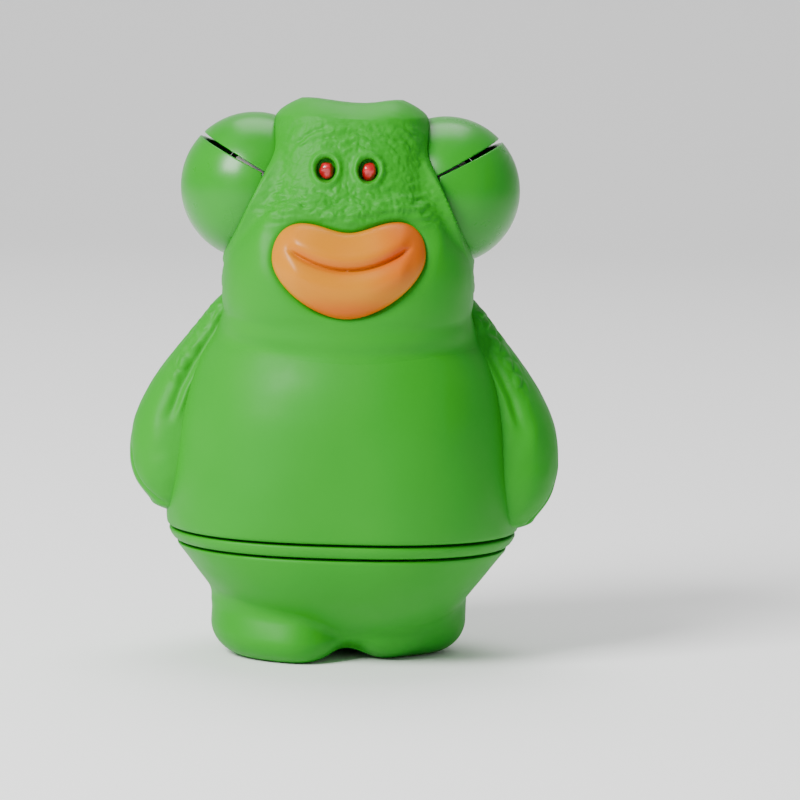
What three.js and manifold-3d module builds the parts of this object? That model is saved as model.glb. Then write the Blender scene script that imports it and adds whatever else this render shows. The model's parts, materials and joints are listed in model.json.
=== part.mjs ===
// Squeeze frog with pop-out eyes. Millimetres, +Z up, the frog faces -Y.
// The origin is on the ground, under the middle of the body. "left" and "right" are as seen from the front.
// Squeezing the belly presses the air bulb: the eyelids open and the eyeballs slide out.
import * as THREE from 'three';
import { mergeVertices } from 'three/addons/utils/BufferGeometryUtils.js';
import Module from 'manifold-3d';

const wasm = await Module();
wasm.setup();

// ---- Driving dimensions -----------------------------------------------------------------------------------

const GAP = 0.3; // between pieces that meet
const SKIN = 1.8; // wall of the moulded skins

const HEAD_TOP = 70;
const HEAD_BOTTOM = 42.6;
const NECK = HEAD_BOTTOM - GAP; // top of the torso skin
const BAND_TOP = 15.9;
const BAND_BOTTOM = 14.4;
const BOWL_BOTTOM = 2;

const BODY_HALF_WIDTH = 22.25;
const BODY_HALF_DEPTH = 19.5;
const BODY_SQUARENESS = 2.3; // superellipse exponent: 2 is an ellipse
// Each station: height, then half width, front and back as shares of the body's half width and half depth.
const BODY_STATIONS = [
  [BOWL_BOTTOM, 0.557, -0.497, 0.508],
  [4.5, 0.667, -0.632, 0.653],
  [7.2, 0.749, -0.736, 0.756],
  [10.5, 0.863, -0.85, 0.86],
  [BAND_BOTTOM, 0.973, -0.933, 0.933],
  [BAND_TOP, 1, -0.953, 0.953],
  [20, 0.991, -0.99, 0.99],
  [26, 0.95, -1, 1],
  [32, 0.909, -0.969, 0.969],
  [37, 0.845, -0.902, 0.902],
  [41, 0.74, -0.808, 0.798],
  [HEAD_BOTTOM + 2, 0.621, -0.694, 0.674],
];

const HEAD_SQUARENESS = 3;
// Each station: share of the head's height, half width as a share of the body's, front and back.
const HEAD_STATIONS = [
  [0, 0.658, -14.2, 13.4],
  [0.09, 0.712, -16.4, 14.8],
  [0.23, 0.721, -17.7, 15.4],
  [0.34, 0.689, -17.2, 15.2],
  [0.51, 0.589, -15.6, 14.2],
  [0.67, 0.498, -13.6, 12.8],
  [0.82, 0.452, -12.0, 11.2],
  [0.95, 0.416, -10.0, 9.2],
  [1, 0.292, -7.0, 6.6],
].map(([share, ...sides]) => [HEAD_BOTTOM + share * (HEAD_TOP - HEAD_BOTTOM), ...sides]);

// Each station: height, inner and outer side measured outwards from the body's side, front and back.
const ARM_STATIONS = [
  [16.5, -4.4, -0.5, -5.6, 1.4],
  [18.5, -5.9, 2.1, -7.4, 3.6],
  [22, -6.9, 4.5, -8.6, 5.2],
  [26, -6.9, 5.1, -8.8, 6.0],
  [30, -6.9, 4.3, -8.2, 6.4],
  [34, -7.9, 2.3, -7.2, 6.2],
  [38, -8.9, -0.7, -6.0, 5.6],
  [41, -9.4, -3.2, -4.8, 4.6],
  [44, -9.9, -5.7, -2.6, 2.6],
];
const ARM_SQUARENESS = 2.2;

const FOOT_OFFSET = 8; // from the middle plane to the middle of each foot
const FOOT_WIDTH = 16;
const FOOT_LENGTH = 25;
const FOOT_FORWARD = 2; // the feet stand this far ahead of the body's axis
const FOOT_HEIGHT = 9;

const EYE_Z = HEAD_TOP - 11.2;
const LID_RADIUS = 9.3;
const EYE_X = LID_RADIUS + 0.12135 * BODY_HALF_WIDTH; // the domes keep their distance from the middle plane
const LID_WALL = 0.8;
const CUP_WALL = 0.8;
const SLIT_TILT = 28; // degrees above horizontal, rising outwards
const SLIT_OFFSET = 2.5; // the slit passes this far above the eye's centre
const SLIT_WIDTH = 0.3;
const UPPER_LID_END = 145; // degrees around the hinge from straight out
const LOWER_LID_END = -105;
const LOWER_LID_TRAVEL = 36; // how far the lower lid opens, which its slot allows for
const COLLAR_WALL = 0.8; // of the head around each dome
const COLLAR_TILT = 20; // degrees the collar's rim leans in towards the top
const COLLAR_OFFSET = -0.1; // rim's distance from the eye's centre
const GAZE = 48; // degrees above horizontal
const LID_EAR_WALL = 0.7; // the upper lid's bearings, between the dome and the yoke
const YOKE_RADIUS = LID_RADIUS - LID_WALL - LID_EAR_WALL - 2 * GAP;
const YOKE_WALL = 0.8;
const EYEBALL_ROOM = 1.45; // around the eyeball inside the yoke, which lets the lower lid's edge pass
const EYEBALL_RADIUS = YOKE_RADIUS - YOKE_WALL - EYEBALL_ROOM;
const PUPIL_RADIUS = 0.46 * EYEBALL_RADIUS;
const YOKE_WIDTH = 2.6;
const BOSS_RADIUS = 2.1;
const BELLOWS_RADIUS = 1.3;
const PIN_RADIUS = 0.7;
const PIN_CLEARANCE = 0.1;
const TUBE_RADIUS = 1.6;
const TUBE_BORE = 0.9;

const LIPS_Z = HEAD_BOTTOM + 9.2;
const LIPS_HALF_WIDTH = 9.8;
const LIPS_DEPTH = 1.2; // how far the lips are let into the face
const LIPS_PROUD = 0.9;
const NOSTRIL_X = 2.7;
const NOSTRIL_Z = HEAD_TOP - 7.9;
const NOSTRIL_RADIUS = 0.95;
const NOSTRIL_RIM = 1.45;

const BULB_RADIUS = 13;
const BULB_Z = 27.5;
const BULB_HALF_HEIGHT = 9;
const BULB_WALL = 1.2;
const PAD_RADIUS = 8.5;
const PLUG_RADIUS = 3.2;
const PLUG_FLANGE = 1.1;
const VENT_RADIUS = 0.5;

// ---- Helpers ----------------------------------------------------------------------------------------------

const radians = THREE.MathUtils.degToRad;

function toSolid(geometry) {
  const bare = geometry.index ? geometry.toNonIndexed() : geometry.clone();
  bare.deleteAttribute('normal');
  bare.deleteAttribute('uv');
  const merged = mergeVertices(bare, 1e-4);
  const vertProperties = new Float32Array(merged.attributes.position.array);
  const triVerts = new Uint32Array(merged.index.array);
  return new wasm.Manifold(new wasm.Mesh({ numProp: 3, vertProperties, triVerts }));
}

function toGeometry(solid) {
  const mesh = solid.getMesh();
  const geometry = new THREE.BufferGeometry();
  geometry.setAttribute('position', new THREE.BufferAttribute(new Float32Array(mesh.vertProperties), 3));
  geometry.setIndex(new THREE.BufferAttribute(new Uint32Array(mesh.triVerts), 1));
  geometry.computeVertexNormals();
  return geometry;
}

// Smooth value between the stations of a column.
function between(stations, column, height) {
  const curve = (i) => stations[Math.min(Math.max(i, 0), stations.length - 1)];
  let i = 0;
  while (i < stations.length - 2 && stations[i + 1][0] < height) i += 1;
  const [before, from, to, after] = [curve(i - 1), curve(i), curve(i + 1), curve(i + 2)];
  const span = to[0] - from[0];
  const t = THREE.MathUtils.clamp((height - from[0]) / span, 0, 1);
  const slope = (a, b) => (b[0] > a[0] ? ((b[column] - a[column]) / (b[0] - a[0])) * span : 0);
  const m0 = slope(before, to);
  const m1 = slope(from, after);
  const t2 = t * t;
  const t3 = t2 * t;
  return (2 * t3 - 3 * t2 + 1) * from[column] + (t3 - 2 * t2 + t) * m0
    + (-2 * t3 + 3 * t2) * to[column] + (t3 - t2) * m1;
}

function bodySection(height) {
  const front = BODY_HALF_DEPTH * between(BODY_STATIONS, 2, height);
  const back = BODY_HALF_DEPTH * between(BODY_STATIONS, 3, height);
  const halfWidth = BODY_HALF_WIDTH * between(BODY_STATIONS, 1, height);
  return { x: 0, y: (front + back) / 2, halfWidth, halfDepth: (back - front) / 2, power: BODY_SQUARENESS };
}

function headSection(height) {
  const front = between(HEAD_STATIONS, 2, height);
  const back = between(HEAD_STATIONS, 3, height);
  const halfWidth = BODY_HALF_WIDTH * between(HEAD_STATIONS, 1, height);
  return { x: 0, y: (front + back) / 2, halfWidth, halfDepth: (back - front) / 2, power: HEAD_SQUARENESS };
}

function armSection(height) {
  const inner = BODY_HALF_WIDTH + between(ARM_STATIONS, 1, height);
  const outer = BODY_HALF_WIDTH + between(ARM_STATIONS, 2, height);
  const front = between(ARM_STATIONS, 3, height);
  const back = between(ARM_STATIONS, 4, height);
  return {
    x: (inner + outer) / 2,
    y: (front + back) / 2,
    halfWidth: (outer - inner) / 2,
    halfDepth: (back - front) / 2,
    power: ARM_SQUARENESS,
  };
}

// One foot: upright sides, a rounded lower edge and a flat sole.
function footSection(height) {
  const edge = 2.4;
  const below = Math.max(0, 1 - height / edge);
  const above = Math.max(0, (height - 5) / (FOOT_HEIGHT - 5));
  const inset = (edge + 0.2) * (1 - Math.sqrt(1 - Math.min(1, below * below) * 0.98)) + 3 * above * above;
  return {
    x: FOOT_OFFSET,
    y: -FOOT_FORWARD,
    halfWidth: FOOT_WIDTH / 2 - inset,
    halfDepth: FOOT_LENGTH / 2 - inset,
    power: 2.6,
  };
}

// A closed skin through superellipse sections between two heights, pulled in by inset all round.
function loft(section, from, to, inset = 0, rings = 9, around = 32) {
  const outline = [new THREE.Vector2(0, from)];
  for (let i = 0; i <= rings; i += 1) outline.push(new THREE.Vector2(1, from + ((to - from) * i) / rings));
  outline.push(new THREE.Vector2(0, to));
  const geometry = new THREE.LatheGeometry(outline, around);
  const position = geometry.attributes.position;
  for (let i = 0; i < position.count; i += 1) {
    const height = position.getY(i);
    const s = section(height);
    const [sine, cosine] = [position.getX(i), position.getZ(i)];
    const rounded = (v) => Math.sign(v) * Math.abs(v) ** (2 / s.power);
    const onSurface = Math.hypot(sine, cosine) > 0.5;
    const x = s.x + (onSurface ? (s.halfWidth - inset) * rounded(cosine) : 0);
    const y = s.y + (onSurface ? (s.halfDepth - inset) * rounded(sine) : 0);
    position.setXYZ(i, x, y, height);
  }
  return toSolid(geometry);
}

function solidBody(inset = 0, from = BOWL_BOTTOM, to = NECK, rings = 8, around = 32) {
  return loft(bodySection, from, to, inset, rings, around);
}

function solidHead(inset = 0, from = HEAD_BOTTOM, to = HEAD_TOP, rings = 9, around = 28) {
  return loft(headSection, from, to, inset, rings, around);
}

function place(geometry, x, y, z, rx = 0, ry = 0, rz = 0) {
  geometry.rotateX(radians(rx));
  geometry.rotateY(radians(ry));
  geometry.rotateZ(radians(rz));
  geometry.translate(x, y, z);
  return toSolid(geometry);
}

function sphere(radius, around = 20, rings = 12) {
  return toSolid(new THREE.SphereGeometry(radius, around, rings));
}

function shell(outer, inner, around = 20, rings = 12) {
  return sphere(outer, around, rings).subtract(sphere(inner, around, rings));
}

function uprightRod(radius, from, to, x = 0, y = 0, sides = 14) {
  return place(new THREE.CylinderGeometry(radius, radius, to - from, sides), x, y, (from + to) / 2, 90);
}

function depthRod(radius, from, to, x = 0, z = 0, sides = 10) {
  return place(new THREE.CylinderGeometry(radius, radius, to - from, sides), x, (from + to) / 2, z);
}

// A rod from the eye's centre line, starting and ending at distances behind the eye's centre.
function rodBehindEye(radius, from, to, sides = 12) {
  const rod = new THREE.CylinderGeometry(radius, radius, to - from, sides);
  rod.translate(0, -(from + to) / 2, 0);
  rod.rotateX(Math.PI / 2);
  rod.rotateY(radians(90 - GAZE));
  return toSolid(rod);
}

// A block set by its ranges along the slit (u), through the frog (y) and across the slit (n).
function slitBlock([u0, u1], [y0, y1], [n0, n1]) {
  const block = new THREE.BoxGeometry(u1 - u0, y1 - y0, n1 - n0);
  block.translate((u0 + u1) / 2, (y0 + y1) / 2, (n0 + n1) / 2);
  block.rotateY(-radians(SLIT_TILT));
  return toSolid(block);
}

// A thick wedge around the hinge between two angles less than 180 degrees apart.
function wedge(from, to) {
  const reach = 30;
  const outline = new THREE.Shape();
  outline.moveTo(0, 0);
  for (const angle of [from, (from + to) / 2, to]) {
    outline.lineTo(reach * Math.cos(radians(angle)), reach * Math.sin(radians(angle)));
  }
  const geometry = new THREE.ExtrudeGeometry(outline, { depth: reach, bevelEnabled: false });
  geometry.translate(0, 0, -reach / 2);
  return place(geometry, 0, 0, 0, 90);
}

// ---- Eye pieces, in a frame at the eye's centre with +X outwards ---------------------------------------------

function upperLid() {
  const inner = LID_RADIUS - LID_WALL;
  const half = slitBlock([-12, 12], [-12, 12], [SLIT_OFFSET + SLIT_WIDTH / 2, 12]);
  const hidden = wedge(UPPER_LID_END, UPPER_LID_END + 120);
  const dome = shell(LID_RADIUS, inner).intersect(half).subtract(hidden);
  const earOuter = inner - GAP;
  const earInner = YOKE_RADIUS + GAP;
  const ear = shell(earOuter, earInner).intersect(slitBlock([-1.7, 1.7], [-12, 12], [-1.7, 3.7]));
  const bridge = shell(LID_RADIUS - 0.2, earInner)
    .intersect(slitBlock([-1.3, 1.7], [-12, 12], [SLIT_OFFSET + 0.4, 3.7]));
  const bore = depthRod(PIN_RADIUS + PIN_CLEARANCE, -12, 12);
  return dome.add(ear).add(bridge).subtract(bore);
}

function lowerLid() {
  const inner = LID_RADIUS - LID_WALL;
  const half = slitBlock([-12, 12], [-12, 12], [-12, SLIT_OFFSET - SLIT_WIDTH / 2]);
  const open = wedge(SLIT_TILT + 90, LOWER_LID_END + 360);
  const dome = shell(LID_RADIUS, inner).intersect(half).subtract(open);
  const hub = shell(LID_RADIUS, inner).intersect(depthRod(SLIT_OFFSET - SLIT_WIDTH / 2, -12, 12));
  const bore = depthRod(PIN_RADIUS + PIN_CLEARANCE, -pinEnd() - 0.1, pinEnd() + 0.1);
  return dome.subtract(bossSlot()).add(hub).subtract(bore);
}

// The slot at the hidden end of the lower lid, which straddles the yoke's boss when the lid is open.
function bossSlot() {
  const size = 12;
  const bossEdge = 180 + GAZE + THREE.MathUtils.radToDeg(Math.asin((BOSS_RADIUS + GAP / 2) / (LID_RADIUS - LID_WALL)));
  const end = bossEdge + LOWER_LID_TRAVEL;
  const slot = new THREE.BoxGeometry(size, 2 * (BOSS_RADIUS + GAP), size);
  slot.translate(-size / 2, 0, -size / 2);
  slot.rotateY(-radians(end - 270));
  return toSolid(slot);
}

function pinEnd() {
  return LID_RADIUS - 0.35;
}

function lidPin(direction) {
  const start = YOKE_RADIUS - YOKE_WALL - 0.1;
  const [from, to] = direction < 0 ? [-pinEnd(), -start] : [start, pinEnd()];
  return depthRod(PIN_RADIUS, from, to);
}

function eyeCup(pocket) {
  const outer = cupOuter();
  const ball = shell(outer, outer - CUP_WALL);
  return ball.intersect(pocket).subtract(rodBehindEye(BOSS_RADIUS + GAP, 6, 14));
}

function cupOuter() {
  return LID_RADIUS + GAP + CUP_WALL;
}

function lidYoke() {
  const band = new THREE.BoxGeometry(20, 30, YOKE_WIDTH);
  band.translate(-10 + 1.2, 0, 0);
  band.rotateY(-radians(GAZE));
  const ring = shell(YOKE_RADIUS, YOKE_RADIUS - YOKE_WALL).intersect(toSolid(band));
  const boss = rodBehindEye(BOSS_RADIUS, YOKE_RADIUS - 0.5, cupOuter());
  const bore = rodBehindEye(BELLOWS_RADIUS + GAP, YOKE_RADIUS - 2, cupOuter() + 1);
  const pinBore = depthRod(PIN_RADIUS + PIN_CLEARANCE, -12, 12);
  return ring.add(boss).subtract(bore).subtract(pinBore);
}

function eyeball() {
  const pupilSeat = aimed(new THREE.SphereGeometry(PUPIL_RADIUS + GAP, 16, 8), pupilDistance());
  return sphere(EYEBALL_RADIUS).subtract(pupilSeat);
}

function pupil() {
  const bead = aimed(new THREE.SphereGeometry(PUPIL_RADIUS, 16, 8), pupilDistance());
  return bead.intersect(sphere(EYEBALL_RADIUS + 0.15, 16, 10));
}

function pupilDistance() {
  return EYEBALL_RADIUS - 0.4;
}

// Moves a geometry out along the gaze.
function aimed(geometry, distance) {
  geometry.rotateZ(-Math.PI / 2);
  geometry.translate(distance, 0, 0);
  geometry.rotateY(-radians(GAZE));
  return toSolid(geometry);
}

// An open-ended corrugated tube between the eyeball and the boss of the yoke.
function eyeBellows() {
  const bore = BELLOWS_RADIUS - 0.8;
  const front = EYEBALL_RADIUS + GAP;
  const back = cupOuter() - GAP;
  const folds = 4;
  const outline = [new THREE.Vector2(bore, 0)];
  const length = back - front;
  for (let i = 0; i <= 2 * folds; i += 1) {
    outline.push(new THREE.Vector2(BELLOWS_RADIUS - (i % 2) * 0.4, (length * i) / (2 * folds)));
  }
  outline.push(new THREE.Vector2(bore, length));
  outline.push(new THREE.Vector2(bore, 0));
  const geometry = new THREE.LatheGeometry(outline, 14);
  geometry.translate(0, -back, 0);
  geometry.rotateX(Math.PI / 2);
  geometry.rotateY(radians(90 - GAZE));
  return toSolid(geometry);
}

// ---- Skins and fixed pieces ----------------------------------------------------------------------------------

function lipsOutline(grow = 0) {
  const w = LIPS_HALF_WIDTH + grow;
  const outline = new THREE.Shape();
  outline.moveTo(-w, 0.6);
  outline.bezierCurveTo(-w, 3.4 + grow, -w + 2.4, 4.7 + grow, -w + 4.6, 4.6 + grow);
  outline.bezierCurveTo(-2.6, 4.3 + grow, -1.6, 3.6 + grow, 0, 3.6 + grow);
  outline.bezierCurveTo(1.6, 3.6 + grow, 2.6, 4.3 + grow, w - 4.6, 4.6 + grow);
  outline.bezierCurveTo(w - 2.4, 4.7 + grow, w, 3.4 + grow, w, 0.6);
  outline.bezierCurveTo(w, -2.8, 4.6, -7.2 - grow, 0, -7.2 - grow);
  outline.bezierCurveTo(-4.6, -7.2 - grow, -w, -2.8, -w, 0.6);
  return outline;
}

function lipsPrism(grow = 0) {
  const geometry = new THREE.ExtrudeGeometry(lipsOutline(grow), { depth: 14, bevelEnabled: false, curveSegments: 4 });
  return place(geometry, 0, -8, LIPS_Z, 90);
}

function nostrilFace() {
  return headSection(NOSTRIL_Z).y - headSection(NOSTRIL_Z).halfDepth;
}

// The head swells around each dome, up to a flat rim that leans in towards the top.
function socketCollar() {
  const size = 30;
  const inside = new THREE.BoxGeometry(size, size, size);
  inside.translate(COLLAR_OFFSET - size / 2, 0, 0);
  inside.rotateY(-radians(COLLAR_TILT));
  return sphere(LID_RADIUS + GAP + COLLAR_WALL).intersect(toSolid(inside));
}

function headSkin() {
  const rim = () => place(new THREE.TorusGeometry(NOSTRIL_RIM, 0.4, 6, 16), 0, 0, 0, 80);
  const collar = socketCollar().translate([EYE_X, 0, EYE_Z]);
  let skin = solidHead().add(collar).add(collar.mirror([1, 0, 0]));
  for (const x of [-NOSTRIL_X, NOSTRIL_X]) skin = skin.add(rim().translate([x, nostrilFace() + 0.1, NOSTRIL_Z]));
  skin = skin.subtract(headCavity());
  for (const x of [-NOSTRIL_X, NOSTRIL_X]) {
    skin = skin.subtract(depthRod(NOSTRIL_RADIUS + GAP, nostrilFace() - 3, nostrilFace() + 1, x, NOSTRIL_Z));
  }
  for (const x of [-EYE_X, EYE_X]) skin = skin.subtract(sphere(LID_RADIUS + GAP).translate([x, 0, EYE_Z]));
  const recess = lipsPrism(GAP).subtract(solidHead(LIPS_DEPTH, HEAD_BOTTOM, HEAD_TOP - LIPS_DEPTH));
  return skin.subtract(recess).subtract(uprightRod(TUBE_RADIUS + GAP, HEAD_BOTTOM - 1, HEAD_BOTTOM + 4));
}

function headCavity(extra = 0) {
  return solidHead(SKIN + extra, HEAD_BOTTOM + SKIN + extra, HEAD_TOP - SKIN - extra, 6, 20);
}

function lips() {
  const proud = solidHead(-LIPS_PROUD, HEAD_BOTTOM, HEAD_TOP);
  const floor = solidHead(LIPS_DEPTH - GAP, HEAD_BOTTOM, HEAD_TOP);
  return lipsPrism().intersect(proud).subtract(floor);
}

function nostril(x) {
  return depthRod(NOSTRIL_RADIUS, nostrilFace() - 0.1, nostrilFace() + 0.7, x, NOSTRIL_Z);
}

function torsoSkin() {
  const outer = solidBody(0, BAND_TOP + GAP, NECK, 9);
  const inner = solidBody(SKIN, BAND_TOP - 2, NECK - SKIN, 6, 24);
  return outer.subtract(inner).subtract(uprightRod(TUBE_RADIUS + GAP, NECK - 4, NECK + 1));
}

function arm() {
  const limb = loft(armSection, ARM_STATIONS[0][0], ARM_STATIONS.at(-1)[0], 0, 10, 22);
  const body = solidBody(-GAP, BOWL_BOTTOM, HEAD_BOTTOM + 2, 14);
  return limb.subtract(body).subtract(solidHead(-GAP, HEAD_BOTTOM - GAP, HEAD_TOP));
}

function bodyRing([z0, z1], [outer, inner], around) {
  return solidBody(outer, z0, z1, 2, around).subtract(solidBody(inner, z0 - 1, z1 + 1, 2, 24));
}

function waistBand() {
  const collarReach = 2.8;
  const collarOutside = SKIN + 1.5 * GAP;
  const collarInside = collarOutside + 1.2;
  const band = bodyRing([BAND_BOTTOM, BAND_TOP], [0.3, collarInside], 32);
  const collar = bodyRing([BAND_BOTTOM - collarReach, BAND_TOP + collarReach], [collarOutside, collarInside], 24);
  return band.add(collar);
}

function legSkin() {
  const bowl = solidBody(0, BOWL_BOTTOM, BAND_BOTTOM - GAP, 7);
  const foot = loft(footSection, 0, FOOT_HEIGHT, 0, 6, 24);
  const feet = foot.add(foot.mirror([1, 0, 0]));
  const inner = solidBody(SKIN, BOWL_BOTTOM + SKIN, BAND_BOTTOM + 1, 5, 24);
  const socket = uprightRod(PLUG_RADIUS + GAP, -1, BOWL_BOTTOM + SKIN + 1);
  return bowl.add(feet).subtract(inner).subtract(socket);
}

function basePlug() {
  const floor = BOWL_BOTTOM + SKIN;
  const stopper = uprightRod(PLUG_RADIUS, 1, floor + GAP + PLUG_FLANGE);
  const flange = uprightRod(PLUG_RADIUS + 1.4, floor + GAP, floor + GAP + PLUG_FLANGE);
  return stopper.add(flange).subtract(uprightRod(VENT_RADIUS, 0, floor + 4, 0, 0, 12));
}

// ---- Air system ------------------------------------------------------------------------------------------------

function bulbOutline(wall) {
  const neck = TUBE_RADIUS + GAP + BULB_WALL - wall;
  const points = [];
  const steps = 9;
  const halfHeight = BULB_HALF_HEIGHT - wall;
  const radius = BULB_RADIUS - wall;
  for (let i = 0; i < steps; i += 1) {
    const angle = -Math.PI / 2 + (Math.PI * i) / steps;
    points.push(new THREE.Vector2(radius * Math.cos(angle), halfHeight * Math.sin(angle)));
  }
  points[0].x = 0;
  points.push(new THREE.Vector2(neck, halfHeight + 0.2 - wall * 0.2));
  points.push(new THREE.Vector2(neck, BULB_HALF_HEIGHT + 3 + wall));
  points.push(new THREE.Vector2(0, BULB_HALF_HEIGHT + 3 + wall));
  return points;
}

function airBulb() {
  const body = (wall) => place(new THREE.LatheGeometry(bulbOutline(wall), 24), 0, 0, BULB_Z, 90);
  return body(0).subtract(body(BULB_WALL));
}

function airManifold() {
  const start = [0, 0, BULB_Z + BULB_HALF_HEIGHT + 0.6];
  const fork = [0, 0, HEAD_BOTTOM + 5];
  const reach = cupOuter() + 3 * GAP;
  const port = [EYE_X - reach * Math.cos(radians(GAZE)), 0, EYE_Z - reach * Math.sin(radians(GAZE))];
  const pipe = (radius, extra) => {
    let tree = uprightRod(radius, start[2] - extra, fork[2] + radius * 0.5, 0, 0, 12);
    const ball = sphere(radius * 1.05, 12, 8).translate(fork);
    for (const side of [-1, 1]) {
      const run = new THREE.Vector3(side * port[0], 0, port[2]).sub(new THREE.Vector3(...fork));
      const length = run.length() + extra;
      const geometry = new THREE.CylinderGeometry(radius, radius, length, 12);
      geometry.translate(0, length / 2, 0);
      geometry.applyQuaternion(
        new THREE.Quaternion().setFromUnitVectors(new THREE.Vector3(0, 1, 0), run.normalize()),
      );
      geometry.translate(...fork);
      tree = tree.add(toSolid(geometry));
    }
    return tree.add(ball);
  };
  return pipe(TUBE_RADIUS, 0).subtract(pipe(TUBE_BORE, 1));
}

function bellyPad() {
  const front = solidBody(SKIN + 0.5, BULB_Z - PAD_RADIUS - 2, BULB_Z + PAD_RADIUS + 2, 4, 24);
  return front.intersect(depthRod(PAD_RADIUS, -25, -BULB_RADIUS - GAP, 0, BULB_Z, 24));
}

// ---- Assembly ------------------------------------------------------------------------------------------------

const SKIN_GREEN = { color: 0x43b536, roughness: 0.62, metalness: 0 };
const LID_GREEN = { color: 0x3fae34, roughness: 0.3, metalness: 0 };
const ORANGE = { color: 0xff9a05, roughness: 0.35, metalness: 0 };
const RED = { color: 0xd81e3c, roughness: 0.25, metalness: 0 };
const WHITE = { color: 0xf4f4ee, roughness: 0.2, metalness: 0 };
const BLACK = { color: 0x101010, roughness: 0.15, metalness: 0 };
const GREY = { color: 0x9a9a96, roughness: 0.5, metalness: 0 };
const STEEL = { color: 0xc8ccd0, roughness: 0.3, metalness: 1 };

const frog = new THREE.Group();

function piece(name, solid, look, parent = frog) {
  const mesh = new THREE.Mesh(toGeometry(solid), new THREE.MeshStandardMaterial(look));
  mesh.name = name;
  parent.add(mesh);
}

function addEye(side, name) {
  const mirrored = (solid) => (side < 0 ? solid.mirror([1, 0, 0]) : solid);
  const eye = new THREE.Group();
  eye.position.set(side * EYE_X, 0, EYE_Z);
  frog.add(eye);
  const pocket = headCavity(GAP).translate([-EYE_X, 0, -EYE_Z]);
  piece(`upper_lid_${name}`, mirrored(upperLid()), LID_GREEN, eye);
  piece(`lower_lid_${name}`, mirrored(lowerLid()), LID_GREEN, eye);
  piece(`lid_pin_front_${name}`, mirrored(lidPin(-1)), STEEL, eye);
  piece(`lid_pin_rear_${name}`, mirrored(lidPin(1)), STEEL, eye);
  piece(`lid_yoke_${name}`, mirrored(lidYoke()), GREY, eye);
  piece(`eye_cup_${name}`, mirrored(eyeCup(pocket)), GREY, eye);
  piece(`eyeball_${name}`, mirrored(eyeball()), WHITE, eye);
  piece(`pupil_${name}`, mirrored(pupil()), BLACK, eye);
  piece(`eye_bellows_${name}`, mirrored(eyeBellows()), GREY, eye);
}

piece('head_skin', headSkin(), SKIN_GREEN);
piece('torso_skin', torsoSkin(), SKIN_GREEN);
piece('arm_right', arm(), SKIN_GREEN);
piece('arm_left', arm().mirror([1, 0, 0]), SKIN_GREEN);
piece('waist_band', waistBand(), SKIN_GREEN);
piece('leg_skin', legSkin(), SKIN_GREEN);
piece('base_plug', basePlug(), SKIN_GREEN);
piece('lips', lips(), ORANGE);
piece('nostril_left', nostril(-NOSTRIL_X), RED);
piece('nostril_right', nostril(NOSTRIL_X), RED);
addEye(-1, 'left');
addEye(1, 'right');
piece('air_manifold', airManifold(), GREY);
piece('air_bulb', airBulb(), GREY);
piece('belly_pad', bellyPad(), GREY);

export default frog;
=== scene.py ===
# The looks of the squeeze frog with pop-out eyes. Lengths are in millimetres until a mesh is made.
import json
import math

import bpy
import numpy as np
from mathutils import Matrix, Vector, noise


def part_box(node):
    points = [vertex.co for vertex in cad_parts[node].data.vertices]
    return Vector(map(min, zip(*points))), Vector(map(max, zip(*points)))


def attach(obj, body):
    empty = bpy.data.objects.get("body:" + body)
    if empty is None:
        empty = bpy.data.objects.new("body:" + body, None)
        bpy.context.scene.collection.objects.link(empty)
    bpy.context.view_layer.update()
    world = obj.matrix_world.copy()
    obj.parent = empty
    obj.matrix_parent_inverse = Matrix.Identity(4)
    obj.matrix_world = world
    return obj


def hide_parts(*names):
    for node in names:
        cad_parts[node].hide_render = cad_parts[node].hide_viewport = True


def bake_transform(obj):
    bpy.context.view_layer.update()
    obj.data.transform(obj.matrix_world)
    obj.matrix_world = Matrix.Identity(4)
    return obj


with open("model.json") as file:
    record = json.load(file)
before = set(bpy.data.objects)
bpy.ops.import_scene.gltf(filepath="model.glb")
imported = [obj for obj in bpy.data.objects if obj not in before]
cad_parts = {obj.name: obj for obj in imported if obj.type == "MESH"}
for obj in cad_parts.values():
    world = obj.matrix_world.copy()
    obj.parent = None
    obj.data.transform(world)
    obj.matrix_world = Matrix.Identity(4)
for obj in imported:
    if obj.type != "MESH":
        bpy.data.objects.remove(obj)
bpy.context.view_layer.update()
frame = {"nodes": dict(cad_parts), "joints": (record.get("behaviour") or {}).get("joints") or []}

MM = 0.001

# ---- Places read from the frame ------------------------------------------------------------------


def box_mm(node):
    low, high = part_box(node)
    return np.array(low) / MM, np.array(high) / MM


JOINTS = {joint["name"]: joint for joint in frame["joints"]}
EYE = np.array(JOINTS["upper_lid_right_hinge"]["pos_m"]) / MM
GAZE = np.array(JOINTS["eye_right_slide"]["axis"])
HEAD_BOTTOM = box_mm("head_skin")[0][2]
HEAD_TOP = box_mm("head_skin")[1][2]
TORSO_BOTTOM = box_mm("torso_skin")[0][2]
BOWL_TOP = box_mm("leg_skin")[1][2]
GROOVE = 0.3
BAND = (BOWL_TOP + GROOVE, TORSO_BOTTOM - GROOVE)
LID_RADIUS = (box_mm("lower_lid_right")[1][0] - EYE[0])
EYEBALL_RADIUS = (box_mm("eyeball_right")[1][1] - box_mm("eyeball_right")[0][1]) / 2

# ---- Shape of the skins: height, half width, front, back -----------------------------------------

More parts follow.
